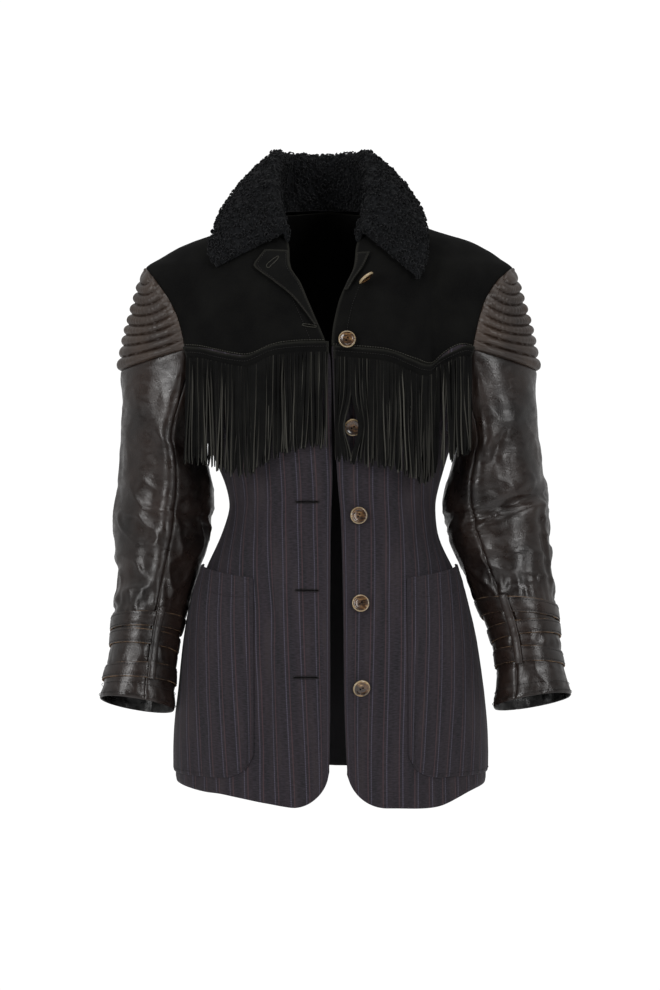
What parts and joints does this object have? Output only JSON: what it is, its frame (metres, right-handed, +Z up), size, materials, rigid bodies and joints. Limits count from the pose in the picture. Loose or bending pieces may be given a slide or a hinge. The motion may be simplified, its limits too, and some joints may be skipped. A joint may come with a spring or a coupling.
{
  "type": "biker jacket",
  "caption": "Fitted hip-length jacket, worn open: curly wool collar, fringed suede yoke, quilted leather shoulders, strapped leather sleeves and a pinstriped wool body with patch pockets.",
  "frame": {"origin": "middle of the neck base, where the garment hangs from the wearer's shoulders", "axes": "+Z up along the body, -Y towards the front opening, +X towards the wearer's left sleeve"},
  "size_m": [0.5608, 0.2565, 0.7829],
  "materials": {
    "collar_pile": "matt",
    "suede": "matt",
    "pinstripe": "matt",
    "leather": "satin",
    "horn": "gloss"
  },
  "bodies": {
    "root": {"collar": "collar_pile", "yoke_back": "suede", "yoke_front_right": "suede", "lapel_right": "suede", "fringe_right": "suede", "front_right": "pinstripe", "back_right": "pinstripe", "pocket_right": "pinstripe", "shoulder_right": "leather", "sleeve_top_right": "leather", "sleeve_under_right": "leather", "strap_right_1": "leather", "strap_right_2": "leather", "strap_right_3": "leather", "keeper_right": "leather", "yoke_front_left": "suede", "lapel_left": "suede", "fringe_left": "suede", "front_left": "pinstripe", "back_left": "pinstripe", "pocket_left": "pinstripe", "shoulder_left": "leather", "sleeve_top_left": "leather", "sleeve_under_left": "leather", "strap_left_1": "leather", "strap_left_2": "leather", "strap_left_3": "leather", "keeper_left": "leather", "button_1": "horn", "button_2": "horn", "button_3": "horn", "button_4": "horn", "button_5": "horn", "button_6": "horn"}
  },
  "joints": []
}
